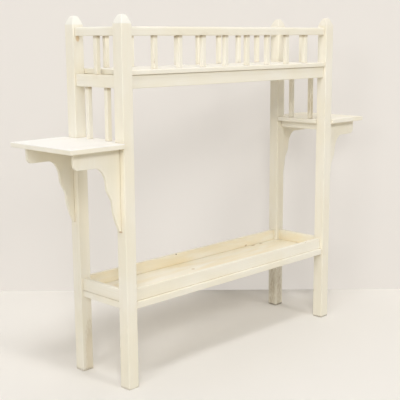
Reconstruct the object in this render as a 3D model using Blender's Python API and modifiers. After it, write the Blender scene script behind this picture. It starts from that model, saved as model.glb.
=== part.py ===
# Painted wooden plant stand with a slatted gallery, two bracketed side shelves and a low tray.
# Metres, +Z up. X runs along the length, -Y is the front, and the feet stand on z = 0.

import math

import bmesh
import bpy
from mathutils import Matrix, Vector

for old in list(bpy.data.objects):
    bpy.data.objects.remove(old, do_unlink=True)

# Fits and edges
CLEARANCE = 0.0003
ARRIS = 0.0012

# Posts, placed by the spacing of their centres
POST_SIDE = 0.038
POST_HEIGHT = 1.068
POST_SPAN_X = 0.940
POST_SPAN_Y = 0.218
FINIAL_HEIGHT = 0.0255
FINIAL_FLAT = 0.0115
FOOT_CHAMFER = 0.002

# Joinery
TENON_LENGTH = 0.010
TENON_THICKNESS = 0.008
TENON_SHOULDER = 0.005
STUB_SIDE = 0.008
STUB_LENGTH = 0.006
DOWEL_DIAMETER = 0.005
DOWEL_LENGTH = 0.030
HOUSING_DEPTH = 0.004

# Gallery
RAIL_THICKNESS = 0.018
RAIL_HEIGHT = 0.025
RAIL_BELOW_SHOULDER = 0.0075
RAIL_ROUND = 0.0065
SLAT_SIDE = 0.0145
GALLERY_SLATS = 8

# Upper board and the rails that carry it
BOARD_BELOW_SHOULDER = 0.128
UPPER_BOARD_THICKNESS = 0.0145
UPPER_BOARD_OVERHANG = 0.0145
UPPER_BOARD_ROUND = 0.004
APRON_THICKNESS = 0.018
APRON_HEIGHT = 0.038
MID_RAIL_HEIGHT = 0.036
END_OFFSET = 0.004
END_SLAT_SPACING = 0.087

# Side shelves, their cross rails and their brackets
SHELF_BELOW_BOARD = 0.204
SHELF_THICKNESS = 0.0145
SHELF_REACH = 0.190
SHELF_OVERHANG = 0.033
SHELF_OFFSET = 0.008
CROSS_RAIL_THICKNESS = 0.0145
CROSS_RAIL_HEIGHT = 0.024
CROSS_RAIL_OFFSET = 0.009
BRACKET_OFFSET = 0.0042
BRACKET_THICKNESS = 0.0095
BRACKET_REACH = 0.163
BRACKET_DROP = 0.244
BRACKET_ARM = 0.048
BRACKET_NOSE = 0.016
BRACKET_COVE_WIDTH = 0.041
BRACKET_COVE_HEIGHT = 0.058
BRACKET_LEG = 0.050
BRACKET_WAIST = 0.0295
BRACKET_OGEE_HEIGHT = 0.054
BRACKET_TIP = 0.004
DOWEL_DROP = 0.070
DOWEL_PITCH = 0.080

# Tray
TRAY_FLOOR = 0.263
TRAY_BOARD_THICKNESS = 0.020
TRAY_BOARD_INSET_X = 0.007
TRAY_BOARD_INSET_Y = 0.003
TRAY_WALL_HEIGHT = 0.038
TRAY_WALL_THICKNESS = 0.0145

# How finely curves are drawn, and the angles that tell an arris and a flat face
FINIAL_STEPS = 7
FINIAL_DOME = 0.35
ROUND_STEPS = 3
CURVE_STEPS = 6
DOWEL_SIDES = 16
SHARP_ANGLE = math.radians(50)
FLAT_ANGLE = math.radians(0.5)
CIRCLE_HANDLE = 0.5523
SAME = 1e-6

# Places that several pieces share
SIDES = {"left": -1, "right": 1}
FACES = {"front": -1, "back": 1}
post_half = POST_SIDE / 2
post_x = POST_SPAN_X / 2
post_y = POST_SPAN_Y / 2
inner_x = post_x - post_half
inner_y = post_y - post_half
outer_x = post_x + post_half
outer_y = post_y + post_half
end_x = post_x + END_OFFSET
cross_rail_x = post_x + CROSS_RAIL_OFFSET
rail_top = POST_HEIGHT - RAIL_BELOW_SHOULDER
rail_bottom = rail_top - RAIL_HEIGHT
board_top = POST_HEIGHT - BOARD_BELOW_SHOULDER
board_bottom = board_top - UPPER_BOARD_THICKNESS
frame_top = board_bottom - CLEARANCE
apron_bottom = frame_top - APRON_HEIGHT
mid_rail_bottom = frame_top - MID_RAIL_HEIGHT
shelf_top = board_top - SHELF_BELOW_BOARD
shelf_bottom = shelf_top - SHELF_THICKNESS
bracket_top = shelf_bottom - CLEARANCE
cross_rail_bottom = bracket_top - CROSS_RAIL_HEIGHT
tray_bottom = TRAY_FLOOR - TRAY_BOARD_THICKNESS
wall_bottom = TRAY_FLOOR + CLEARANCE
wall_top = TRAY_FLOOR + TRAY_WALL_HEIGHT
tray_reach_x = outer_x - TRAY_BOARD_INSET_X
tray_reach_y = outer_y - TRAY_BOARD_INSET_Y
tongue_x = inner_x + HOUSING_DEPTH
tongue_y = inner_y + HOUSING_DEPTH

parts = bpy.data.collections.new("plant_stand")
bpy.context.scene.collection.children.link(parts)
cutters = bpy.data.collections.new("plant_stand_cutters")
bpy.context.scene.collection.children.link(cutters)

# The side shelves sit a little behind the posts' middle, so the frame moves forward to centre the whole
origin = bpy.data.objects.new("plant_stand_origin", None)
origin.location = (0, -SHELF_OFFSET, 0)
parts.objects.link(origin)


# Materials

def paint(name, colour, roughness):
    material = bpy.data.materials.new(name)
    material.use_nodes = True
    shader = material.node_tree.nodes["Principled BSDF"]
    shader.inputs["Base Color"].default_value = (*colour, 1)
    shader.inputs["Roughness"].default_value = roughness
    shader.inputs["Metallic"].default_value = 0
    return material


post_paint = paint("post_paint", (0.80, 0.76, 0.62), 0.42)
rail_paint = paint("rail_paint", (0.80, 0.76, 0.63), 0.42)
slat_paint = paint("slat_paint", (0.77, 0.72, 0.57), 0.45)
board_paint = paint("board_paint", (0.84, 0.82, 0.72), 0.40)
shelf_paint = paint("shelf_paint", (0.86, 0.84, 0.76), 0.38)
bracket_paint = paint("bracket_paint", (0.79, 0.74, 0.60), 0.45)
tray_paint = paint("tray_paint", (0.80, 0.75, 0.58), 0.45)
dowel_wood = paint("dowel_wood", (0.55, 0.40, 0.24), 0.65)


# Modelling helpers

def add_box(mesh, low, high):
    low = Vector(low)
    high = Vector(high)
    size = Matrix.Diagonal((*(high - low), 1))
    bmesh.ops.create_cube(mesh, size=1, matrix=Matrix.Translation((low + high) / 2) @ size)


def add_rod(mesh, centre, radius, length):
    # a round rod along X
    turned = Matrix.Translation(centre) @ Matrix.Rotation(math.pi / 2, 4, "Y")
    bmesh.ops.create_cone(mesh, cap_ends=True, segments=DOWEL_SIDES, radius1=radius, radius2=radius,
                          depth=length, matrix=turned)


def to_object(name, mesh, collection, location=(0, 0, 0)):
    data = bpy.data.meshes.new(name)
    mesh.to_mesh(data)
    mesh.free()
    made = bpy.data.objects.new(name, data)
    collection.objects.link(made)
    made.parent = origin
    made.location = location
    return made


def to_cutter(name, mesh):
    cutter = to_object(name, mesh, cutters)
    cutter.hide_render = True
    cutter.display_type = "WIRE"
    return cutter


def box_cutter(name, boxes):
    mesh = bmesh.new()
    for low, high in boxes:
        add_box(mesh, low, high)
    return to_cutter(name, mesh)


def combine(part, cutter, operation):
    boolean = part.modifiers.new(cutter.name, "BOOLEAN")
    boolean.operation = operation
    boolean.solver = "EXACT"
    boolean.object = cutter


def soften(part):
    # the worn and painted arrises of a planed piece
    bevel = part.modifiers.new("arris", "BEVEL")
    bevel.width = ARRIS
    bevel.segments = 1
    bevel.limit_method = "ANGLE"
    bevel.angle_limit = SHARP_ANGLE


def grown(box):
    # the hole that a tenon, stub or tongue fits into
    gap = Vector((CLEARANCE, CLEARANCE, CLEARANCE))
    return Vector(box[0]) - gap, Vector(box[1]) + gap


def planed(name, low, high, material, bar=None, round_top=0):
    # a planed length of wood; a bar through its middle makes its tenons, and its long top edges can be rounded
    low = Vector(low)
    high = Vector(high)
    centre = (low + high) / 2
    mesh = bmesh.new()
    add_box(mesh, low - centre, high - centre)
    if round_top:
        run = 0 if high.x - low.x > high.y - low.y else 1
        long_edges = []
        for edge in mesh.edges:
            first, second = (vert.co for vert in edge.verts)
            is_top = min(first.z, second.z) > high.z - centre.z - SAME
            if is_top and abs(first[run] - second[run]) > SAME:
                long_edges.append(edge)
        bmesh.ops.bevel(mesh, geom=long_edges, offset=round_top, segments=ROUND_STEPS, profile=0.5,
                        affect="EDGES")
    part = to_object(name, mesh, parts, centre)
    part.data.materials.append(material)
    soften(part)
    if bar:
        combine(part, box_cutter(name + "_bar", [bar]), "UNION")
    return part


def mortise(part, bars):
    combine(part, box_cutter(part.name + "_mortises", [grown(bar) for bar in bars]), "DIFFERENCE")


def flat_outline(name, points, thickness, material):
    # a flat piece sawn to an outline; a point is (place, left handle, right handle), with None for straight
    curve = bpy.data.curves.new(name, "CURVE")
    curve.dimensions = "2D"
    curve.fill_mode = "BOTH"
    curve.extrude = thickness / 2
    curve.resolution_u = CURVE_STEPS
    spline = curve.splines.new("BEZIER")
    spline.use_cyclic_u = True
    spline.bezier_points.add(len(points) - 1)
    for point, (place, left, right) in zip(spline.bezier_points, points):
        point.co = (*place, 0)
        point.handle_left_type = "FREE" if left else "VECTOR"
        point.handle_right_type = "FREE" if right else "VECTOR"
        point.handle_left = (*(left or place), 0)
        point.handle_right = (*(right or place), 0)
    drawn = bpy.data.objects.new(name + "_outline", curve)
    parts.objects.link(drawn)
    evaluated = drawn.evaluated_get(bpy.context.evaluated_depsgraph_get())
    flat = bpy.data.meshes.new_from_object(evaluated)
    mesh = bmesh.new()
    mesh.from_mesh(flat)
    bpy.data.objects.remove(drawn)
    bpy.data.meshes.remove(flat)
    bmesh.ops.remove_doubles(mesh, verts=mesh.verts, dist=SAME)
    bmesh.ops.dissolve_limit(mesh, angle_limit=FLAT_ANGLE, verts=mesh.verts, edges=mesh.edges)
    bmesh.ops.recalc_face_normals(mesh, faces=mesh.faces)
    part = to_object(name, mesh, parts)
    part.data.materials.append(material)
    return part


# Tenons: each bar is both tenons of one piece, from tip to tip

def bar_x(face, bottom, top):
    half = TENON_THICKNESS / 2
    tip = inner_x + TENON_LENGTH
    y = FACES[face] * post_y
    return (-tip, y - half, bottom + TENON_SHOULDER), (tip, y + half, top - TENON_SHOULDER)


def bar_y(x, bottom, top):
    half = TENON_THICKNESS / 2
    tip = inner_y + TENON_LENGTH
    return (x - half, -tip, bottom + TENON_SHOULDER), (x + half, tip, top - TENON_SHOULDER)


def bar_z(x, y, bottom, top):
    half = STUB_SIDE / 2
    return (x - half, y - half, bottom - STUB_LENGTH), (x + half, y + half, top + STUB_LENGTH)


def long_bars(face):
    return {
        "rail": bar_x(face, rail_bottom, rail_top - RAIL_ROUND),
        "apron": bar_x(face, apron_bottom, frame_top),
        "wall": bar_x(face, wall_bottom, wall_top),
    }


def end_bars(side):
    sign = SIDES[side]
    return {
        "rail": bar_y(sign * end_x, rail_bottom, rail_top - RAIL_ROUND),
        "mid_rail": bar_y(sign * end_x, mid_rail_bottom, frame_top),
        "cross_rail": bar_y(sign * cross_rail_x, cross_rail_bottom, bracket_top),
        "wall": bar_y(sign * end_x, wall_bottom, wall_top),
    }


# Slats: where they stand, and the bar of each with its stub at both ends

slat_pitch = 2 * inner_x / (GALLERY_SLATS + 1)
gallery_x = [slat_pitch * (number + 1) - inner_x for number in range(GALLERY_SLATS)]
panel_y = {face: sign * END_SLAT_SPACING / 2 for face, sign in FACES.items()}
slat_top = rail_bottom - CLEARANCE
gallery_foot = board_top + CLEARANCE
end_gallery_foot = frame_top + CLEARANCE
panel_foot = shelf_top + CLEARANCE
panel_top = mid_rail_bottom - CLEARANCE


def gallery_bars(face):
    return [bar_z(x, FACES[face] * post_y, gallery_foot, slat_top) for x in gallery_x]


def end_gallery_bar(side):
    return bar_z(SIDES[side] * end_x, 0, end_gallery_foot, slat_top)


def panel_bars(side):
    return [bar_z(SIDES[side] * end_x, y, panel_foot, panel_top) for y in panel_y.values()]


def make_slat(name, x, y, foot, top):
    half = SLAT_SIDE / 2
    low = (x - half, y - half, foot)
    high = (x + half, y + half, top)
    return planed(name, low, high, slat_paint, bar_z(x, y, foot, top))


def make_slats():
    for face, sign in FACES.items():
        for number, x in enumerate(gallery_x, 1):
            make_slat(f"gallery_slat_{face}_{number}", x, sign * post_y, gallery_foot, slat_top)
    for side, sign in SIDES.items():
        make_slat(f"gallery_slat_{side}_end", sign * end_x, 0, end_gallery_foot, slat_top)
        for face, y in panel_y.items():
            make_slat(f"panel_slat_{side}_{face}", sign * end_x, y, panel_foot, panel_top)


# Posts

def draw_out(mesh, up, height, shrink):
    # draws the top or bottom face out to a new height and narrows it
    end = max(mesh.faces, key=lambda face: up * face.calc_center_median().z)
    drawn = bmesh.ops.extrude_face_region(mesh, geom=[end])["geom"]
    mesh.faces.remove(end)
    for item in drawn:
        if isinstance(item, bmesh.types.BMVert):
            item.co = (item.co.x * shrink, item.co.y * shrink, height)


def finial_width(rise):
    # between a straight pyramid and a dome, with a worn flat at the tip
    dome = math.sqrt(1 - rise * rise)
    share = (1 - FINIAL_DOME) * (1 - rise) + FINIAL_DOME * dome
    return FINIAL_FLAT + (POST_SIDE - FINIAL_FLAT) * share


def dowel_places(face, side):
    upper = bracket_top - DOWEL_DROP
    heights = {"upper": upper, "lower": upper - DOWEL_PITCH}
    x = SIDES[side] * (outer_x + CLEARANCE / 2)
    y = FACES[face] * post_y + BRACKET_OFFSET
    return {level: (x, y, height) for level, height in heights.items()}


def bore_dowels(part, face, side):
    mesh = bmesh.new()
    for place in dowel_places(face, side).values():
        add_rod(mesh, place, DOWEL_DIAMETER / 2 + CLEARANCE, DOWEL_LENGTH + 2 * CLEARANCE)
    combine(part, to_cutter(part.name + "_dowel_holes", mesh), "DIFFERENCE")


def make_post(face, side):
    mesh = bmesh.new()
    add_box(mesh, (-post_half, -post_half, FOOT_CHAMFER), (post_half, post_half, POST_HEIGHT))
    uprights = []
    for edge in mesh.edges:
        first, second = (vert.co for vert in edge.verts)
        if abs(first.z - second.z) > SAME:
            uprights.append(edge)
    bmesh.ops.bevel(mesh, geom=uprights, offset=ARRIS, segments=1, profile=0.5, affect="EDGES")
    draw_out(mesh, -1, 0, 1 - 2 * FOOT_CHAMFER / POST_SIDE)
    width = POST_SIDE
    for step in range(FINIAL_STEPS):
        rise = (step + 1) / FINIAL_STEPS
        draw_out(mesh, 1, POST_HEIGHT + FINIAL_HEIGHT * rise, finial_width(rise) / width)
        width = finial_width(rise)
    place = (SIDES[side] * post_x, FACES[face] * post_y, 0)
    post = to_object(f"post_{face}_{side}", mesh, parts, place)
    post.data.materials.append(post_paint)
    mortise(post, [*long_bars(face).values(), *end_bars(side).values()])
    arm_x = (-tongue_x, -tray_reach_y, tray_bottom), (tongue_x, tray_reach_y, TRAY_FLOOR)
    arm_y = (-tray_reach_x, -tongue_y, tray_bottom), (tray_reach_x, tongue_y, TRAY_FLOOR)
    for name, arm in (("x", arm_x), ("y", arm_y)):
        combine(post, box_cutter(f"{post.name}_housing_{name}", [grown(arm)]), "DIFFERENCE")
    bore_dowels(post, face, side)


# Rails, aprons and walls

def make_long_piece(name, face, thickness, bottom, top, material, bar, round_top=0):
    y = FACES[face] * post_y
    length = inner_x - CLEARANCE
    low = (-length, y - thickness / 2, bottom)
    high = (length, y + thickness / 2, top)
    return planed(name, low, high, material, bar, round_top)


def make_end_piece(name, x, thickness, bottom, top, material, bar, round_top=0):
    length = inner_y - CLEARANCE
    low = (x - thickness / 2, -length, bottom)
    high = (x + thickness / 2, length, top)
    return planed(name, low, high, material, bar, round_top)


def make_long_pieces(face):
    bars = long_bars(face)
    rail = make_long_piece(f"gallery_rail_{face}", face, RAIL_THICKNESS, rail_bottom, rail_top,
                           rail_paint, bars["rail"], RAIL_ROUND)
    mortise(rail, gallery_bars(face))
    make_long_piece(f"apron_{face}", face, APRON_THICKNESS, apron_bottom, frame_top,
                    rail_paint, bars["apron"])
    make_long_piece(f"tray_wall_{face}", face, TRAY_WALL_THICKNESS, wall_bottom, wall_top,
                    tray_paint, bars["wall"])


def make_end_pieces(side):
    bars = end_bars(side)
    x = SIDES[side] * end_x
    rail = make_end_piece(f"gallery_rail_{side}", x, RAIL_THICKNESS, rail_bottom, rail_top,
                          rail_paint, bars["rail"], RAIL_ROUND)
    mortise(rail, [end_gallery_bar(side)])
    mid_rail = make_end_piece(f"mid_rail_{side}", x, RAIL_THICKNESS, mid_rail_bottom, frame_top,
                              rail_paint, bars["mid_rail"])
    mortise(mid_rail, [end_gallery_bar(side), *panel_bars(side)])
    make_end_piece(f"cross_rail_{side}", SIDES[side] * cross_rail_x, CROSS_RAIL_THICKNESS,
                   cross_rail_bottom, bracket_top, rail_paint, bars["cross_rail"])
    make_end_piece(f"tray_wall_{side}", x, TRAY_WALL_THICKNESS, wall_bottom, wall_top,
                   tray_paint, bars["wall"])


# Boards

def make_upper_board():
    length = inner_x - CLEARANCE
    width = post_y + UPPER_BOARD_OVERHANG
    low = (-length, -width, board_bottom)
    high = (length, width, board_top)
    board = planed("upper_board", low, high, board_paint, round_top=UPPER_BOARD_ROUND)
    mortise(board, gallery_bars("front") + gallery_bars("back"))


def notch(part, boxes):
    # corners sawn out of a board, right through its thickness
    combine(part, box_cutter(part.name + "_notches", [grown(box) for box in boxes]), "DIFFERENCE")


def make_shelf(side):
    # a tongue of the shelf goes in between the posts, and the rest stands out past them
    sign = SIDES[side]
    front = SHELF_OFFSET - post_y - SHELF_OVERHANG
    back = SHELF_OFFSET + post_y + SHELF_OVERHANG
    near, far = sorted((sign * inner_x, sign * (outer_x + SHELF_REACH)))
    low = (near, front, shelf_bottom)
    high = (far, back, shelf_top)
    shelf = planed(f"side_shelf_{side}", low, high, shelf_paint)
    near, far = sorted((sign * inner_x, sign * outer_x))
    notches = [
        ((near, front, shelf_bottom), (far, -inner_y, shelf_top)),
        ((near, inner_y, shelf_bottom), (far, back, shelf_top)),
    ]
    notch(shelf, notches)
    mortise(shelf, panel_bars(side))


def make_tray_board():
    # the corners are notched round the posts, and the edges of the notches run into the posts' housings
    low = Vector((-tray_reach_x, -tray_reach_y, tray_bottom))
    high = Vector((tray_reach_x, tray_reach_y, TRAY_FLOOR))
    board = planed("tray_board", low, high, tray_paint)
    spans_x = [(low.x, -tongue_x), (tongue_x, high.x)]
    spans_y = [(low.y, -tongue_y), (tongue_y, high.y)]
    notches = []
    for left, right in spans_x:
        for front, back in spans_y:
            notches.append(((left, front, low.z), (right, back, high.z)))
    notch(board, notches)


# Brackets

def bracket_points(sign):
    # from the post along the top, round the nose, under the arm, up the cove and down the leg to the tip
    arm = -BRACKET_ARM
    cove = arm - BRACKET_COVE_HEIGHT
    waist = cove - BRACKET_OGEE_HEIGHT
    tail = BRACKET_DROP + waist
    nose_handle = BRACKET_NOSE * CIRCLE_HANDLE
    cove_x = BRACKET_LEG + BRACKET_COVE_WIDTH
    ogee_handle = BRACKET_OGEE_HEIGHT / 3
    outline = [
        ((0, 0), None, None),
        ((BRACKET_REACH, 0), None, None),
        ((BRACKET_REACH, arm + BRACKET_NOSE), None, (BRACKET_REACH, arm + BRACKET_NOSE - nose_handle)),
        ((BRACKET_REACH - BRACKET_NOSE, arm), (BRACKET_REACH - BRACKET_NOSE + nose_handle, arm), None),
        ((cove_x, arm), None, (cove_x - BRACKET_COVE_WIDTH * CIRCLE_HANDLE, arm)),
        ((BRACKET_LEG, cove), (BRACKET_LEG, cove + BRACKET_COVE_HEIGHT * CIRCLE_HANDLE),
         (BRACKET_LEG, cove - ogee_handle)),
        ((BRACKET_WAIST, waist), (BRACKET_WAIST, waist + ogee_handle), (BRACKET_WAIST, waist - tail / 3)),
        ((BRACKET_TIP, -BRACKET_DROP), (BRACKET_WAIST / 2, tail / 4 - BRACKET_DROP), None),
        ((0, -BRACKET_DROP), None, None),
    ]
    flipped = []
    for point in outline:
        flipped.append([place and (sign * place[0], place[1]) for place in point])
    return flipped


def make_bracket(face, side):
    sign = SIDES[side]
    points = bracket_points(sign)
    bracket = flat_outline(f"bracket_{face}_{side}", points, BRACKET_THICKNESS, bracket_paint)
    bracket.location = (sign * (outer_x + CLEARANCE), FACES[face] * post_y + BRACKET_OFFSET, bracket_top)
    bracket.rotation_euler.x = math.pi / 2
    soften(bracket)
    bore_dowels(bracket, face, side)


def make_dowels(face, side):
    for level, place in dowel_places(face, side).items():
        mesh = bmesh.new()
        add_rod(mesh, (0, 0, 0), DOWEL_DIAMETER / 2, DOWEL_LENGTH)
        dowel = to_object(f"dowel_{face}_{side}_{level}", mesh, parts, place)
        dowel.data.materials.append(dowel_wood)
        dowel.data.shade_smooth()
        dowel.data.set_sharp_from_angle(angle=SHARP_ANGLE)


for face_name in FACES:
    for side_name in SIDES:
        make_post(face_name, side_name)
        make_bracket(face_name, side_name)
        make_dowels(face_name, side_name)
for face_name in FACES:
    make_long_pieces(face_name)
for side_name in SIDES:
    make_end_pieces(side_name)
    make_shelf(side_name)
make_slats()
make_upper_board()
make_tray_board()
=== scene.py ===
import math

import bmesh
import bpy
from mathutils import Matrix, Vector
from mathutils.bvhtree import BVHTree


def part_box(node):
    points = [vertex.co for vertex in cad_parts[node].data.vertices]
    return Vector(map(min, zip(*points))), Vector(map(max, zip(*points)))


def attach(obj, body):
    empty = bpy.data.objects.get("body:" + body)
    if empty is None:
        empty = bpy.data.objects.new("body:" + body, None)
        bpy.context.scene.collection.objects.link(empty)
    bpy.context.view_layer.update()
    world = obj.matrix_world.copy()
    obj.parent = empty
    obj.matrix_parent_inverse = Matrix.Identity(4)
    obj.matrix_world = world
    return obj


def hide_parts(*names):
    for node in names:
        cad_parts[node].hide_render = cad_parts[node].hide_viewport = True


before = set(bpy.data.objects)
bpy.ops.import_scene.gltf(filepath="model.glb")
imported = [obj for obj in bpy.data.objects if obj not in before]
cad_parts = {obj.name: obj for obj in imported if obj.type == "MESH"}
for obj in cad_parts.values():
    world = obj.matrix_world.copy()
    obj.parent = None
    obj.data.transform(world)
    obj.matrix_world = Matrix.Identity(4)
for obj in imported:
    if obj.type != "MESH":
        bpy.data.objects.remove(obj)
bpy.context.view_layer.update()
sides = {"left": -1, "right": 1}
faces = ("front", "back")
lengthways = 0  # axes that a piece and its grain run along
crossways = 1
upright = 2
seam = 0.0003  # gap that pieces keep where they meet
print("frame loaded,", len(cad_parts), "nodes")


# camera, standing where the photograph was taken
viewpoint = {
    "place": (-2.05085, -1.981, 1.0243),
    "turn": (79.4113, 0.3573, -45.3718),
    "lens": 77.535,
    "sensor": 36,
}


def addCamera():
    turn = [math.radians(angle) for angle in viewpoint["turn"]]
    bpy.ops.object.camera_add(location=viewpoint["place"], rotation=turn)
    eye = bpy.context.active_object
    eye.data.lens = viewpoint["lens"]
    eye.data.sensor_width = viewpoint["sensor"]
    bpy.context.scene.camera = eye


bpy.ops.object.select_all(action="DESELECT")
addCamera()
print("camera set")


# shader maths: a Strand is one socket of the material that is being built

class Strand:
    def __init__(self, tree, socket=None):
        self.tree = tree
        self.socket = socket

    def add(self, kind, settings=None, inputs=None, output=0):
        node = self.tree.nodes.new(kind)
        for name, value in (settings or {}).items():
            setattr(node, name, value)
        for name, value in (inputs or {}).items():
            if isinstance(value, Strand):
                self.tree.links.new(value.socket, node.inputs[name])
            else:
                node.inputs[name].default_value = value
        return Strand(self.tree, node.outputs[output])

    def maths(self, operation, first, second):
        return self.add("ShaderNodeMath", {"operation": operation}, {0: first, 1: second})

    def __add__(self, other):
        return self.maths("ADD", self, other)

    __radd__ = __add__

    def __sub__(self, other):
        return self.maths("SUBTRACT", self, other)

    def __rsub__(self, other):
        return self.maths("SUBTRACT", other, self)

    def __mul__(self, other):
        return self.maths("MULTIPLY", self, other)

    __rmul__ = __mul__

    def between(self, low, high):  # 0 below low, 1 above high, smooth in between
        return self.add("ShaderNodeMapRange", {"interpolation_type": "SMOOTHSTEP"},
                        {"Value": self, "From Min": low, "From Max": high})

    def mix(self, first, second):  # first colour where this is 0, second where it is 1
        return self.add("ShaderNodeMix", {"data_type": "RGBA"}, {0: self, 6: first, 7: second}, 2)

    def feed(self, socket):
        self.tree.links.new(self.socket, socket)


def seen(red, green, blue):
    # a colour read off, 0 to 255, as the shader wants it
    def decode(value):
        value /= 255
        return value / 12.92 if value <= 0.04045 else ((value + 0.055) / 1.055) ** 2.4
    return (decode(red), decode(green), decode(blue), 1)


# ivory gloss gone to satin, brushed on along the grain

ivory = {
    "clean": seen(242, 238, 226),
    "aged": seen(239, 233, 215),
    # painted highlight for the tops of the upper board and the left shelf, where the light falls strongest
    "litTop": seen(249, 247, 243),
    # finial caps: a whiter coat, with painted light on the left posts and painted shade on the right posts
    "capCoatLit": seen(241, 239, 230),
    "capCoatShaded": seen(234, 228, 213),
    "stroke": seen(236, 229, 211),
    "tea": seen(231, 211, 163),
    # grime and painted shade near the next piece
    "grimeAndShade": seen(212, 194, 156),
    # dark joints, and painted shadow lines under boards and rails
    "jointAndShadow": seen(150, 128, 88),
    # dirt and painted contact shade at the feet
    "footDirtAndShade": seen(112, 97, 76),
    "bareWood": seen(176, 138, 92),
    "undercoat": seen(228, 220, 203),
}

# noise: marks per metre across the grain and along it, then detail and distortion
paintMarks = {
    "brush": (330, 7, 3.0, 0.0),
    "bristle": (1400, 16, 2.0, 0.0),
    "growth": (75, 2.4, 2.0, 0.8),
    "patches": (9, 5, 3.0, 0.0),
    "peel": (700, 700, 2.0, 0.0),
    "knocks": (26, 26, 4.0, 0.0),
    "puddles": (14, 3, 4.0, 1.2),
    "tatter": (220, 60, 3.0, 0.0),
}

# where a mark starts and where it is full
paintEdges = {
    "aged": (0.3, 0.7),
    "stroke": (0.45, 0.75),
    "puddles": (0.35, 0.7),
    "dab": (0.9, 1.4),
    "dirtAndShade": (0.3, 0.75),
    "jointAndShadow": (0.72, 0.98),
    "jointAndShadowPatches": (0.2, 0.6),
    "soilAndShadePatches": (0.1, 0.5),
    "footDarkening": (-0.0065, 0.0005),
    "footDarkeningPeel": (0.3, 0.6),
    "rubbed": (0.62, 0.66),
    "worn": (0.72, 0.74),
    "growth": (0.35, 0.65),
}

paintLevels = {
    "stroke": 0.35,
    "puddles": 0.6,
    "cornerTeaAndShade": 0.4,
    "tatter": 0.9,
    "dirtAndShade": 0.3,
    "dirtWashed": 0.25,  # taken off the dirt and painted shade inside the tray, where water has stood
    "jointAndShadow": 0.45,
    "soilAndShade": 0.6,
    "footDarkening": 0.7,
    "rubbed": 0.6,
    "roughness": 0.42,
    "roughStroke": 0.14,
    "roughDirt": 0.25,
    "roughWood": 0.3,
    "bump": 0.35,
}

paintSizes = {
    "whiteCoatAndLightFade": 0.001,
    "soilAndShadeFrom": 0.011,  # metres below the rail
    "soilAndShadeFull": 0.002,
    "footDarkeningHeight": 0.016,
    "bump": 0.0004,
}

# heights in the paint film
paintRelief = {"brush": 0.5, "bristle": 0.18, "growth": 0.45, "peel": 0.06, "rubbed": 0.5, "worn": 0.7}

# stains, dirt and painted shade that have one place on the stand
stainsDirtAndShades = [
    {"place": (-0.0715, 0.0945, 0.3005), "size": (0.0042, 0.003, 0.004),
     "colour": seen(104, 86, 62), "level": 0.9},
    {"place": (-0.0717, 0.0124, 0.263), "size": (0.010, 0.008, 0.004),
     "colour": seen(196, 172, 128), "level": 0.7},
    {"place": (0.287, 0.091, 0.268), "size": (0.011, 0.008, 0.004),
     "colour": seen(172, 142, 98), "level": 0.7},
    {"place": (0.322, 0.088, 0.264), "size": (0.018, 0.007, 0.003),
     "colour": seen(172, 142, 98), "level": 0.7},
    {"place": (0.362, 0.086, 0.264), "size": (0.014, 0.007, 0.003),
     "colour": seen(172, 142, 98), "level": 0.7},
    # a yellow-brown patch on the back left post just under the left end rail
    {"place": (-0.4727, 0.082, 1.0278), "size": (0.010, 0.006, 0.012),
     "colour": seen(216, 178, 122), "level": 0.6},
    {"place": (-0.4932, -0.1176, 0.4785), "size": (0.006, 0.008, 0.005),
     "colour": seen(182, 146, 104), "level": 0.7},
    # the lower back right leg: mottled dirt, and painted shade under the tray
    {"place": (0.470, 0.101, 0.06), "size": (0.030, 0.030, 0.19),
     "colour": seen(172, 150, 112), "level": 0.5},
    # its foot: dirt, and painted contact shade
    {"place": (0.470, 0.101, 0.002), "size": (0.032, 0.032, 0.007),
     "colour": seen(84, 71, 54), "level": 0.7},
    # front face of the lower back left leg: painted shade of the tray and the front left leg, with a little
    # dirt
    {"place": (-0.462, 0.082, 0.05), "size": (0.024, 0.007, 0.15),
     "colour": seen(190, 170, 134), "level": 0.4},
    # front slat of the right panel: painted shade under the upper board, and some staining
    {"place": (0.474, -0.0515, 0.785), "size": (0.014, 0.014, 0.08),
     "colour": seen(182, 164, 128), "level": 0.5},
]


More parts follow.
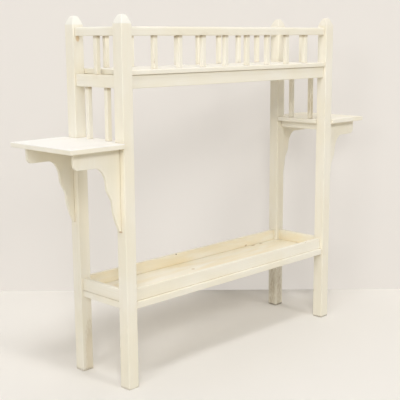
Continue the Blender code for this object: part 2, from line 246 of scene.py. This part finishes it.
def ivoryPaint(name, grain, tea=0.0, whiteCoatAndLightAbove=None, whiteCoatAndLight=ivory["litTop"],
               footDarkenings=paintLevels["footDarkening"], railAbove=None):
    # tea: how far water has stained the paint; then the height above which the paint takes the top colour, a
    # painted highlight on board tops and, on the finials, a whiter coat with painted light on the left posts
    # and painted shade on the right; then how dark the foot is, from dirt and painted contact shade;
    # railAbove: the underside of the rail that a slat runs up to, where soil and painted shadow darken it
    material = bpy.data.materials.new(name)
    material.use_nodes = True
    shader = material.node_tree.nodes["Principled BSDF"]
    start = Strand(material.node_tree)
    spot = start.add("ShaderNodeTexCoord", output="Object")
    level = paintLevels
    size = paintSizes

    def speckle(kind):
        across, along, detail, distortion = paintMarks[kind]
        scale = [across] * 3
        scale[grain] = along
        stretched = start.add("ShaderNodeMapping", None, {"Vector": spot, "Scale": scale})
        return start.add("ShaderNodeTexNoise", None, {
            "Vector": stretched, "Scale": 1.0, "Detail": detail, "Distortion": distortion})

    def mark(attribute):
        return start.add("ShaderNodeAttribute", {"attribute_name": attribute}, None, "Fac")

    def edge(strand, kind):
        return strand.between(*paintEdges[kind])

    brush = speckle("brush")
    bristle = speckle("bristle")
    growth = speckle("growth")
    patches = speckle("patches")
    peel = speckle("peel")
    knocks = speckle("knocks")
    tatter = speckle("tatter")
    height = start.add("ShaderNodeSeparateXYZ", None, {"Vector": spot}, "Z")
    arris = mark("arris")
    grimeAndShade = mark("grimeAndShade")
    damp = mark("damp") if tea else 0

    colour = edge(patches, "aged").mix(ivory["clean"], ivory["aged"])
    if tea:
        # in the tray the tea gathers near the next piece: a stain, and painted shade in the corners
        stain = edge(speckle("puddles"), "puddles") * level["puddles"] + grimeAndShade * level["cornerTeaAndShade"]
        colour = (stain * damp * tea).mix(colour, ivory["tea"])
    colour = (edge(brush, "stroke") * level["stroke"]).mix(colour, ivory["stroke"])
    # painted highlight: above this height the tops turn whiter; on the finials this is also a whiter coat
    if whiteCoatAndLightAbove is not None:
        whiteCoatAndLit = height.between(whiteCoatAndLightAbove - size["whiteCoatAndLightFade"], whiteCoatAndLightAbove + size["whiteCoatAndLightFade"])
        colour = whiteCoatAndLit.mix(colour, whiteCoatAndLight)
    for dab in stainsDirtAndShades:
        centred = start.add("ShaderNodeMapping", {"vector_type": "TEXTURE"}, {
            "Vector": spot, "Location": dab["place"], "Scale": dab["size"]})
        away = start.add("ShaderNodeVectorMath", {"operation": "LENGTH"}, {0: centred}, "Value")
        ragged = (1 - edge(away + tatter * level["tatter"], "dab")) * dab["level"]
        colour = ragged.mix(colour, dab["colour"])
    # near the next piece the paint darkens: grime, and painted shade between parts
    smeared = edge(patches * 0.5 + brush * 0.5, "dirtAndShade")
    dirtiedAndShaded = grimeAndShade * smeared * (level["dirtAndShade"] - damp * level["dirtWashed"])
    colour = dirtiedAndShaded.mix(colour, ivory["grimeAndShade"])
    if railAbove is None:
        # a dark line along the joints: a dark seam, deepened by a painted shadow line
        jointAndShadow = edge(grimeAndShade, "jointAndShadow") * edge(patches, "jointAndShadowPatches") * ((1 - damp) * level["jointAndShadow"])
    else:
        # just under the rail the slat darkens: soil, and the rail's painted shadow
        under = height.between(railAbove - size["soilAndShadeFrom"], railAbove - size["soilAndShadeFull"])
        jointAndShadow = under * edge(patches, "soilAndShadePatches") * level["soilAndShade"]
    colour = jointAndShadow.mix(colour, ivory["jointAndShadow"])
    # the foot darkens near the floor: dirt, and painted contact shade
    footDarkened = (1 - edge(height - knocks * size["footDarkeningHeight"], "footDarkening")) * edge(peel, "footDarkeningPeel") * footDarkenings
    colour = footDarkened.mix(colour, ivory["footDirtAndShade"])
    rubbed = arris * edge(knocks, "rubbed")
    worn = arris * edge(knocks, "worn") * (1 - damp)
    colour = (rubbed * level["rubbed"]).mix(colour, ivory["undercoat"])
    colour = worn.mix(colour, ivory["bareWood"])
    colour.feed(shader.inputs["Base Color"])

    roughness = (level["roughness"] + brush * level["roughStroke"] + dirtiedAndShaded * level["roughDirt"]
                 + worn * level["roughWood"])
    roughness.feed(shader.inputs["Roughness"])
    film = (brush * paintRelief["brush"] + bristle * paintRelief["bristle"]
            + edge(growth, "growth") * paintRelief["growth"] + peel * paintRelief["peel"])
    relief = film - rubbed * paintRelief["rubbed"] - worn * paintRelief["worn"]
    bump = start.add("ShaderNodeBump", None, {
        "Height": relief, "Strength": level["bump"], "Distance": size["bump"]})
    bump.feed(shader.inputs["Normal"])
    return material


dowelLook = {
    "stretch": (20, 900, 900),
    "detail": 3.0,
    "pale": seen(205, 170, 122),
    "dark": seen(168, 126, 80),
    "roughness": 0.55,
    "roughGrain": 0.2,
    "bump": 0.3,
    "bumpSize": 0.0002,
}


def dowelWood():
    look = dowelLook
    material = bpy.data.materials.new("dowelWood")
    material.use_nodes = True
    shader = material.node_tree.nodes["Principled BSDF"]
    start = Strand(material.node_tree)
    spot = start.add("ShaderNodeTexCoord", output="Object")
    drawn = start.add("ShaderNodeMapping", None, {"Vector": spot, "Scale": look["stretch"]})
    grain = start.add("ShaderNodeTexNoise", None, {"Vector": drawn, "Scale": 1.0, "Detail": look["detail"]})
    grain.mix(look["pale"], look["dark"]).feed(shader.inputs["Base Color"])
    (look["roughness"] + grain * look["roughGrain"]).feed(shader.inputs["Roughness"])
    bump = start.add("ShaderNodeBump", None, {
        "Height": grain, "Strength": look["bump"], "Distance": look["bumpSize"]})
    bump.feed(shader.inputs["Normal"])
    return material


trayTea = 0.8
paintAlong = [ivoryPaint("ivoryAlong" + axis, number) for number, axis in enumerate("XYZ")]
trayAlong = [ivoryPaint("trayIvoryAlong" + axis, number, trayTea) for number, axis in enumerate("XY")]
dowelFinish = dowelWood()
print("paints mixed")


# modelling moves

arrisLook = {
    "size": 0.0011,
    "segments": 3,
    "flatFold": 17,  # degrees; a fold past this belongs to an arris
    "sharpFold": 27,
    "wear": 0.0006,
    "wearFrom": 0.3,
    "wearPatch": 0.035,
    "smooth": 40,
}
grimeAndShadeReach = 0.009
cutSpacing = 0.012
facing = 0.9  # a normal past this looks along its axis

wearClouds = bpy.data.textures.new("wearClouds", "CLOUDS")
wearClouds.noise_scale = arrisLook["wearPatch"]


def addBlock(name, low, high):
    low = Vector(low)
    high = Vector(high)
    bpy.ops.object.select_all(action="DESELECT")
    bpy.ops.mesh.primitive_cube_add(size=1, location=(low + high) / 2, scale=high - low)
    block = bpy.context.active_object
    block.name = name
    bpy.ops.object.transform_apply(location=True, rotation=True, scale=True)
    return block


def editing(wanted):
    bpy.ops.object.mode_set(mode="EDIT" if wanted else "OBJECT")


def pick(kind, wanted):
    bpy.ops.mesh.select_mode(type=kind)
    bpy.ops.mesh.select_all(action="DESELECT")
    data = bpy.context.edit_object.data
    mesh = bmesh.from_edit_mesh(data)
    for item in mesh.faces if kind == "FACE" else mesh.edges:
        if wanted(item):
            item.select_set(True)
    bmesh.update_edit_mesh(data)


def drawOut(wanted, shift):
    pick("FACE", wanted)
    bpy.ops.mesh.extrude_region_move(TRANSFORM_OT_translate={"value": shift})


def easeArrises():
    # every edge that is still sharp gets a small round, as from sandpaper and paint
    bpy.ops.mesh.select_mode(type="EDGE")
    bpy.ops.mesh.select_all(action="DESELECT")
    bpy.ops.mesh.edges_select_sharp(sharpness=math.radians(arrisLook["smooth"]))
    bpy.ops.mesh.bevel(offset=arrisLook["size"], segments=arrisLook["segments"], profile=0.5,
                       affect="EDGES", clamp_overlap=True)


def cutAcross(axis, low, high, spacing=cutSpacing):
    # saw cuts across the piece, so that wear, grime and painted shade have somewhere to change
    normal = [0, 0, 0]
    normal[axis] = 1
    count = int((high - low) / spacing)
    for number in range(count):
        point = [0, 0, 0]
        point[axis] = low + (number + 0.5) * (high - low) / count
        bpy.ops.mesh.select_all(action="SELECT")
        bpy.ops.mesh.bisect(plane_co=point, plane_no=normal)


def cutGrid(piece):
    corners = [Vector(corner) for corner in piece.bound_box]
    for axis in (lengthways, crossways, upright):
        places = [corner[axis] for corner in corners]
        cutAcross(axis, min(places), max(places))


def copyTo(piece, name, shift):
    bpy.ops.object.select_all(action="DESELECT")
    piece.select_set(True)
    bpy.context.view_layer.objects.active = piece
    bpy.ops.object.duplicate(linked=False)
    twin = bpy.context.active_object
    twin.name = name
    bpy.ops.transform.translate(value=shift)
    bpy.ops.object.transform_apply(location=True, rotation=True, scale=True)
    return twin


def remove(piece):
    bpy.ops.object.select_all(action="DESELECT")
    piece.select_set(True)
    bpy.ops.object.delete()


def keepMarks(piece, name, values):
    mark = piece.data.attributes.new(name, "FLOAT", "POINT")
    mark.data.foreach_set("value", values)


def markArrises(piece):
    mesh = bmesh.new()
    mesh.from_mesh(piece.data)
    flat = math.radians(arrisLook["flatFold"])
    sharp = math.radians(arrisLook["sharpFold"])
    values = []
    for vert in mesh.verts:
        fold = max(edge.calc_face_angle(0) for edge in vert.link_edges)
        values.append(min(1, max(0, (fold - flat) / (sharp - flat))))
    mesh.free()
    keepMarks(piece, "arris", values)
    group = piece.vertex_groups.new(name="arris")
    for index, value in enumerate(values):
        group.add([index], value, "REPLACE")


def markGrimeAndShade(piece, node):
    # the paint darkens within reach of the next piece: grime, and painted shade between parts
    corners = []
    triangles = []
    for name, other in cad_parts.items():
        if name == node or name.startswith("dowel"):
            continue
        first = len(corners)
        corners.extend(vert.co for vert in other.data.vertices)
        triangles.extend([first + index for index in face.vertices] for face in other.data.polygons)
    tree = BVHTree.FromPolygons(corners, triangles)
    values = []
    for vert in piece.data.vertices:
        gap = tree.find_nearest(vert.co)[3]
        values.append(max(0, 1 - gap / grimeAndShadeReach))
    keepMarks(piece, "grimeAndShade", values)


def markDamp(piece):
    # the inside of the tray, where the pots stood
    front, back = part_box("tray_wall_front"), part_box("tray_wall_back")
    left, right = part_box("tray_wall_left"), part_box("tray_wall_right")
    low = Vector((left[0].x + left[1].x, front[0].y + front[1].y, 0)) / 2
    high = Vector((right[0].x + right[1].x, back[0].y + back[1].y, 0)) / 2
    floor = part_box("tray_board")[1].z - seam
    values = []
    for vert in piece.data.vertices:
        inside = low.x < vert.co.x < high.x and low.y < vert.co.y < high.y and vert.co.z > floor
        values.append(1 if inside else 0)
    keepMarks(piece, "damp", values)


def applyModifier(piece, kind, settings):
    bpy.ops.object.select_all(action="DESELECT")
    piece.select_set(True)
    bpy.context.view_layer.objects.active = piece
    modifier = piece.modifiers.new(kind, kind)
    for name, value in settings.items():
        setattr(modifier, name, value)
    bpy.ops.object.modifier_apply(modifier=kind)


def dress(piece, node, paint):
    markArrises(piece)
    applyModifier(piece, "DISPLACE", {
        "texture": wearClouds, "texture_coords": "LOCAL", "vertex_group": "arris",
        "strength": -arrisLook["wear"], "mid_level": arrisLook["wearFrom"]})
    piece.vertex_groups.clear()
    markGrimeAndShade(piece, node)
    if node.startswith("tray"):
        markDamp(piece)
    bpy.ops.object.shade_smooth_by_angle(angle=math.radians(arrisLook["smooth"]))
    applyModifier(piece, "WEIGHTED_NORMAL", {"keep_sharp": True})
    piece.data.materials.clear()
    piece.data.materials.append(paint)
    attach(piece, "root")
    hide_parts(node)


# posts, with the blunt four-sided tip drawn out of the top

postLook = {
    "finial": 0.0255,
    "tip": 0.0115,
    "dome": 0.35,
    "steps": 10,
    "foot": 0.0026,
    "footSegments": 3,
    "firstCut": 0.01,
    "strips": 4,  # cuts across each face
    # the finial cap is a whiter coat, with painted light on the left posts and painted shade, darker than the
    # post, on the right posts
    "cap": {"left": ivory["capCoatLit"], "right": ivory["capCoatShaded"]},
    # the feet of the right posts are darker: dirt, and more painted shade on the less lit side
    "footDarkenings": {"left": 0.4, "right": 0.8},
}
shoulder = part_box("post_front_left")[1].z - postLook["finial"]


def tipWidth(rise, width):
    share = (1 - postLook["dome"]) * (1 - rise) + postLook["dome"] * math.sqrt(1 - rise * rise)
    return postLook["tip"] + (width - postLook["tip"]) * share


def modelPost():
    low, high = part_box("post_front_left")
    middle = (low + high) / 2
    full = high.x - low.x
    post = addBlock("postPattern", low, (high.x, high.y, shoulder))
    editing(True)
    width = full
    for step in range(1, postLook["steps"] + 1):
        rise = step / postLook["steps"]
        topmost = shoulder + postLook["finial"] * (step - 1) / postLook["steps"]
        drawOut(lambda face: face.normal.z > facing and face.calc_center_median().z > topmost - seam,
                (0, 0, postLook["finial"] / postLook["steps"]))
        narrow = tipWidth(rise, full) / width
        bpy.ops.transform.resize(value=(narrow, narrow, 1), center_override=middle)
        width = tipWidth(rise, full)
    pick("EDGE", lambda edge: max(vert.co.z for vert in edge.verts) < low.z + seam)
    bpy.ops.mesh.bevel(offset=postLook["foot"], segments=postLook["footSegments"], profile=0.5,
                       affect="EDGES")
    easeArrises()
    cutAcross(upright, low.z + postLook["firstCut"], shoulder)
    for axis in (lengthways, crossways):
        cutAcross(axis, low[axis], high[axis], full / postLook["strips"])
    editing(False)
    return post


postPaintAndLight = {}
for side in sides:
    postPaintAndLight[side] = ivoryPaint(side + "PostIvoryAndLight", upright, whiteCoatAndLightAbove=shoulder,
                                 whiteCoatAndLight=postLook["cap"][side], footDarkenings=postLook["footDarkenings"][side])
pattern = modelPost()
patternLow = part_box("post_front_left")[0]
for face in faces:
    for side in sides:
        node = f"post_{face}_{side}"
        twin = copyTo(pattern, node + "_painted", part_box(node)[0] - patternLow)
        dress(twin, node, postPaintAndLight[side])
remove(pattern)
print("posts standing")


# rails, aprons and tray walls, shouldered between the posts

barLook = {"railRound": 0.0065, "boardRound": 0.004, "roundSegments": 5}


def modelBar(name, low, high, run, topRound=0):
    bar = addBlock(name, low, high)
    editing(True)
    if topRound:
        def longTopEdge(edge):
            first, second = (vert.co for vert in edge.verts)
            return min(first.z, second.z) > high[2] - seam and abs(first[run] - second[run]) > seam
        pick("EDGE", longTopEdge)
        bpy.ops.mesh.bevel(offset=topRound, segments=barLook["roundSegments"], profile=0.5, affect="EDGES")
    easeArrises()
    cutGrid(bar)
    editing(False)
    return bar


def betweenPosts(node, face):
    low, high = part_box(node)
    low.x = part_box(f"post_{face}_left")[1].x + seam
    high.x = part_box(f"post_{face}_right")[0].x - seam
    return low, high


def acrossEnd(node, side):
    low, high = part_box(node)
    low.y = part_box(f"post_front_{side}")[1].y + seam
    high.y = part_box(f"post_back_{side}")[0].y - seam
    return low, high


longBars = (
    ("gallery_rail", barLook["railRound"], paintAlong),
    ("apron", 0, paintAlong),
    ("tray_wall", 0, trayAlong),
)
endBars = (
    ("gallery_rail", barLook["railRound"], paintAlong),
    ("mid_rail", 0, paintAlong),
    ("cross_rail", 0, paintAlong),
    ("tray_wall", 0, trayAlong),
)
for face in faces:
    for kind, topRound, paint in longBars:
        node = f"{kind}_{face}"
        low, high = betweenPosts(node, face)
        dress(modelBar(node + "_painted", low, high, lengthways, topRound), node, paint[lengthways])
for side in sides:
    for kind, topRound, paint in endBars:
        node = f"{kind}_{side}"
        low, high = acrossEnd(node, side)
        dress(modelBar(node + "_painted", low, high, crossways, topRound), node, paint[crossways])
print("rails and walls fitted")


# slats

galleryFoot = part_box("upper_board")[1].z + seam
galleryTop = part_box("gallery_rail_front")[0].z - seam
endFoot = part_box("mid_rail_left")[1].z + seam
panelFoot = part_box("side_shelf_left")[1].z + seam
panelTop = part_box("mid_rail_left")[0].z - seam


def fitSlats(nodes, foot, top, paint):
    low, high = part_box(nodes[0])
    pattern = modelBar("slatPattern", (low.x, low.y, foot), (high.x, high.y, top), upright)
    for node in nodes:
        twin = copyTo(pattern, node + "_painted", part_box(node)[0] - low)
        dress(twin, node, paint)
    remove(pattern)


gallerySlatPaint = ivoryPaint("gallerySlatIvory", upright, railAbove=galleryTop)
panelSlatPaint = ivoryPaint("panelSlatIvory", upright, railAbove=panelTop)
longSlats = [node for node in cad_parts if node.startswith(("gallery_slat_front", "gallery_slat_back"))]
fitSlats(longSlats, galleryFoot, galleryTop, gallerySlatPaint)
fitSlats(["gallery_slat_left_end", "gallery_slat_right_end"], endFoot, galleryTop, gallerySlatPaint)
panelSlats = [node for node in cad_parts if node.startswith("panel_slat")]
fitSlats(panelSlats, panelFoot, panelTop, panelSlatPaint)
print("slats fitted")


# boards

# the tops of the upper board and the left shelf carry a painted highlight; the right shelf, in less light,
# keeps the plain paint
shelfLitEdgeDepth = 0.002  # how far down its edge the left shelf is white
litBoardPaint = ivoryPaint("litBoardIvory", lengthways, whiteCoatAndLightAbove=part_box("upper_board")[1].z)
litShelfPaint = ivoryPaint("litShelfIvory", crossways, whiteCoatAndLightAbove=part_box("side_shelf_left")[1].z - shelfLitEdgeDepth)


def layUpperBoard():
    low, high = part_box("upper_board")
    board = modelBar("upper_board_painted", low, high, lengthways, barLook["boardRound"])
    dress(board, "upper_board", litBoardPaint)


def laySideShelf(side):
    # the tongue goes in between the posts, then the shelf spreads out past them
    node = f"side_shelf_{side}"
    sign = sides[side]
    low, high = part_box(node)
    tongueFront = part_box(f"post_front_{side}")[1].y + seam
    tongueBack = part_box(f"post_back_{side}")[0].y - seam
    postLow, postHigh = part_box(f"post_front_{side}")
    root = high.x if sign < 0 else low.x
    neck = (postLow.x - seam) if sign < 0 else (postHigh.x + seam)
    tip = low.x if sign < 0 else high.x
    tongueLow = (min(root, neck), tongueFront, low.z)
    tongueHigh = (max(root, neck), tongueBack, high.z)
    shelf = addBlock(node + "_painted", tongueLow, tongueHigh)
    editing(True)
    drawOut(lambda face: face.normal.x * sign > facing, (tip - neck, 0, 0))

    def beyondNeck(face):
        return (face.calc_center_median().x - neck) * sign > seam

    drawOut(lambda face: beyondNeck(face) and face.normal.y < -facing, (0, low.y - tongueFront, 0))
    drawOut(lambda face: beyondNeck(face) and face.normal.y > facing, (0, high.y - tongueBack, 0))
    easeArrises()
    cutGrid(shelf)
    editing(False)
    dress(shelf, node, litShelfPaint if side == "left" else paintAlong[crossways])


def layTrayBoard():
    low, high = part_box("tray_board")
    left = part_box("post_front_left")[1].x + seam
    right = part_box("post_front_right")[0].x - seam
    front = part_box("post_front_left")[1].y + seam
    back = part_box("post_back_left")[0].y - seam
    board = addBlock("tray_board_painted", (left, front, low.z), (right, back, high.z))

    def betweenNotches(face):
        return left < face.calc_center_median().x < right

    editing(True)
    drawOut(lambda face: face.normal.x < -facing, (low.x - left, 0, 0))
    drawOut(lambda face: face.normal.x > facing, (high.x - right, 0, 0))
    drawOut(lambda face: face.normal.y < -facing and betweenNotches(face), (0, low.y - front, 0))
    drawOut(lambda face: face.normal.y > facing and betweenNotches(face), (0, high.y - back, 0))
    easeArrises()
    cutGrid(board)
    editing(False)
    dress(board, "tray_board", trayAlong[lengthways])


layUpperBoard()
for side in sides:
    laySideShelf(side)
layTrayBoard()
print("boards laid")


# scrolled brackets, sawn to an outline drawn with curve handles

bracketLook = {
    "arm": 0.048,
    "nose": 0.016,
    "coveWide": 0.041,
    "coveTall": 0.058,
    "leg": 0.050,
    "waist": 0.0295,
    "ogee": 0.054,
    "tip": 0.004,
    "steps": 14,
    "circle": 0.5523,  # handle length that makes a Bezier quarter round
    "weld": 0.00001,
    "flatFold": 1,  # degrees; edges flatter than this go from the sawn faces
}


def bracketOutline(reach, drop):
    # each point with its left and right handle, None where the line is straight
    look = bracketLook
    arm = -look["arm"]
    cove = arm - look["coveTall"]
    waist = cove - look["ogee"]
    tail = drop + waist
    nose = look["nose"] * look["circle"]
    coveX = look["leg"] + look["coveWide"]
    return [
        ((0, 0), None, None),
        ((reach, 0), None, None),
        ((reach, arm + look["nose"]), None, (reach, arm + look["nose"] - nose)),
        ((reach - look["nose"], arm), (reach - look["nose"] + nose, arm), None),
        ((coveX, arm), None, (coveX - look["coveWide"] * look["circle"], arm)),
        ((look["leg"], cove), (look["leg"], cove + look["coveTall"] * look["circle"]),
         (look["leg"], cove - look["ogee"] / 3)),
        ((look["waist"], waist), (look["waist"], waist + look["ogee"] / 3),
         (look["waist"], waist - tail / 3)),
        ((look["tip"], -drop), (look["waist"] / 2, tail / 4 - drop), None),
        ((0, -drop), None, None),
    ]


def sawBracket(node, sign):
    low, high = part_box(node)
    bpy.ops.object.select_all(action="DESELECT")
    bpy.ops.curve.primitive_bezier_curve_add()
    bracket = bpy.context.active_object
    bracket.name = node + "_painted"
    curve = bracket.data
    curve.dimensions = "2D"
    curve.fill_mode = "BOTH"
    curve.extrude = (high.y - low.y) / 2
    curve.resolution_u = bracketLook["steps"]
    outline = bracketOutline(high.x - low.x, high.z - low.z)
    spline = curve.splines[0]
    spline.use_cyclic_u = True
    spline.bezier_points.add(len(outline) - len(spline.bezier_points))
    for point, (place, left, right) in zip(spline.bezier_points, outline):
        point.handle_left_type = "FREE" if left else "VECTOR"
        point.handle_right_type = "FREE" if right else "VECTOR"
        point.co = (sign * place[0], place[1], 0)
        left = left or place
        right = right or place
        point.handle_left = (sign * left[0], left[1], 0)
        point.handle_right = (sign * right[0], right[1], 0)
    bracket.rotation_euler.x = math.pi / 2
    bracket.location = (high.x if sign < 0 else low.x, (low.y + high.y) / 2, high.z)
    bpy.ops.object.convert(target="MESH")
    bpy.ops.object.transform_apply(location=True, rotation=True, scale=True)
    editing(True)
    bpy.ops.mesh.select_all(action="SELECT")
    bpy.ops.mesh.remove_doubles(threshold=bracketLook["weld"])
    bpy.ops.mesh.dissolve_limited(angle_limit=math.radians(bracketLook["flatFold"]))
    bpy.ops.mesh.select_all(action="SELECT")
    bpy.ops.mesh.normals_make_consistent(inside=False)
    easeArrises()
    cutGrid(bracket)
    editing(False)
    return bracket


for face in faces:
    for side, sign in sides.items():
        node = f"bracket_{face}_{side}"
        dress(sawBracket(node, sign), node, paintAlong[upright])
for node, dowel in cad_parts.items():
    if node.startswith("dowel"):
        dowel.data.materials.clear()
        dowel.data.materials.append(dowelFinish)
print("brackets fixed")


# plain pale floor and wall

stageLook = {
    "size": 12.0,
    "wallBehind": 0.595,  # metres behind the stand, square to the camera
    "wallHeight": 5.0,
    "floor": seen(236, 233, 228),
    "floorBounce": seen(206, 200, 187),
    "wall": seen(236, 231, 225),
    "wallGlow": seen(230, 224, 217),
    "glowShare": 0.6,
    "roughness": 0.7,
    "cloudScale": 2.0,
    "cloudDetail": 3.0,
    "cloudShade": 0.97,
}


def stageMaterial(name, colour):
    material = bpy.data.materials.new(name)
    material.use_nodes = True
    tree = material.node_tree
    shader = tree.nodes["Principled BSDF"]
    shader.inputs["Roughness"].default_value = stageLook["roughness"]
    start = Strand(tree)
    spot = start.add("ShaderNodeTexCoord", output="Object")
    cloud = start.add("ShaderNodeTexNoise", None, {
        "Vector": spot, "Scale": stageLook["cloudScale"], "Detail": stageLook["cloudDetail"]})
    darker = [value * stageLook["cloudShade"] for value in colour[:3]] + [1]
    return material, start, shader, cloud.mix(colour, darker)


def seenRays(start):
    # 1 for what the eye sees, straight or in a reflection
    kinds = ("Is Camera Ray", "Is Glossy Ray", "Is Transmission Ray")
    camera, glossy, through = (start.add("ShaderNodeLightPath", None, None, kind) for kind in kinds)
    return camera + glossy + through


def floorMaterial():
    # pale to the camera, duller to the light that comes back up
    material, start, shader, colour = stageMaterial("stageFloor", stageLook["floor"])
    direct = seenRays(start)
    direct.mix(stageLook["floorBounce"], colour).feed(shader.inputs["Base Color"])
    return material


def wallMaterial():
    # evened out to the camera, and clear from behind
    material, start, shader, colour = stageMaterial("stageWall", stageLook["wall"])
    colour.feed(shader.inputs["Base Color"])
    lit = Strand(material.node_tree, shader.outputs[0])
    direct = seenRays(start)
    glow = start.add("ShaderNodeEmission", None, {"Color": stageLook["wallGlow"]})
    even = start.add("ShaderNodeMixShader", None, {0: direct * stageLook["glowShare"], 1: lit, 2: glow})
    back = start.add("ShaderNodeNewGeometry", None, None, "Backfacing")
    clear = start.add("ShaderNodeBsdfTransparent")
    both = start.add("ShaderNodeMixShader", None, {0: back, 1: even, 2: clear})
    both.feed(material.node_tree.nodes["Material Output"].inputs["Surface"])
    return material


def buildStage():
    # the floor stops at the wall
    yaw = math.radians(viewpoint["turn"][2])
    ahead = Vector((-math.sin(yaw), math.cos(yaw), 0))
    wallFoot = ahead * stageLook["wallBehind"]
    bpy.ops.object.select_all(action="DESELECT")
    bpy.ops.mesh.primitive_plane_add(size=stageLook["size"])
    floor = bpy.context.active_object
    floor.name = "stageFloor"
    editing(True)
    bpy.ops.mesh.select_all(action="SELECT")
    bpy.ops.mesh.bisect(plane_co=wallFoot, plane_no=ahead, clear_outer=True)
    editing(False)
    floor.data.materials.append(floorMaterial())
    bpy.ops.object.select_all(action="DESELECT")
    bpy.ops.mesh.primitive_plane_add(size=1)
    wall = bpy.context.active_object
    wall.name = "stageWall"
    wall.scale = (stageLook["size"], stageLook["wallHeight"], 1)
    wall.rotation_euler = (math.pi / 2, 0, yaw)
    wall.location = wallFoot + Vector((0, 0, stageLook["wallHeight"] / 2))
    bpy.ops.object.transform_apply(location=True, rotation=True, scale=True)
    wall.data.materials.append(wallMaterial())


buildStage()
print("stage built")


# soft studio light; a level of 1 shows a colour as it is written

lampLook = {
    "aim": (0, 0, 0.55),
    "key": {"bearing": -46, "rise": 66, "far": 10.0, "size": 2.0, "level": 0.28},
    "near": {"bearing": -42, "rise": 28, "far": 10.0, "size": 2.4, "level": 0.28},
    "left": {"bearing": -74, "rise": 20, "far": 10.0, "size": 2.4, "level": 0.2},
    "front": {"bearing": 4, "rise": 33, "far": 10.0, "size": 1.6, "level": 0.16},
    "sky": (1.0, 0.995, 0.985, 1),
    "skyLevel": 0.29,
    "distance": seen(236, 231, 223),
}


def addLamp(name):
    look = lampLook[name]
    bearing = math.radians(look["bearing"])
    rise = math.radians(look["rise"])
    out = math.cos(rise)
    toward = Vector((math.sin(bearing) * out, -math.cos(bearing) * out, math.sin(rise)))
    place = Vector(lampLook["aim"]) + toward * look["far"]
    turn = toward.to_track_quat("Z", "Y").to_euler()
    bpy.ops.object.light_add(type="AREA", location=place, rotation=turn)
    lamp = bpy.context.active_object
    lamp.name = name + "Lamp"
    lamp.data.size = look["size"]
    lamp.data.energy = look["level"] * math.pi ** 2 * look["far"] ** 2
    lamp.visible_camera = False


def lightSky():
    world = bpy.data.worlds.new("studio")
    bpy.context.scene.world = world
    world.use_nodes = True
    tree = world.node_tree
    ambient = tree.nodes["Background"]
    ambient.inputs["Color"].default_value = lampLook["sky"]
    ambient.inputs["Strength"].default_value = lampLook["skyLevel"]
    start = Strand(tree)
    rays = seenRays(start)
    plain = start.add("ShaderNodeBackground", None, {"Color": lampLook["distance"], "Strength": 1.0})
    both = start.add("ShaderNodeMixShader", None, {0: rays, 1: Strand(tree, ambient.outputs[0]), 2: plain})
    both.feed(tree.nodes["World Output"].inputs["Surface"])


for name in ("key", "near", "left", "front"):
    addLamp(name)
lightSky()
bpy.context.scene.view_settings.view_transform = "Standard"
print("lamps lit")
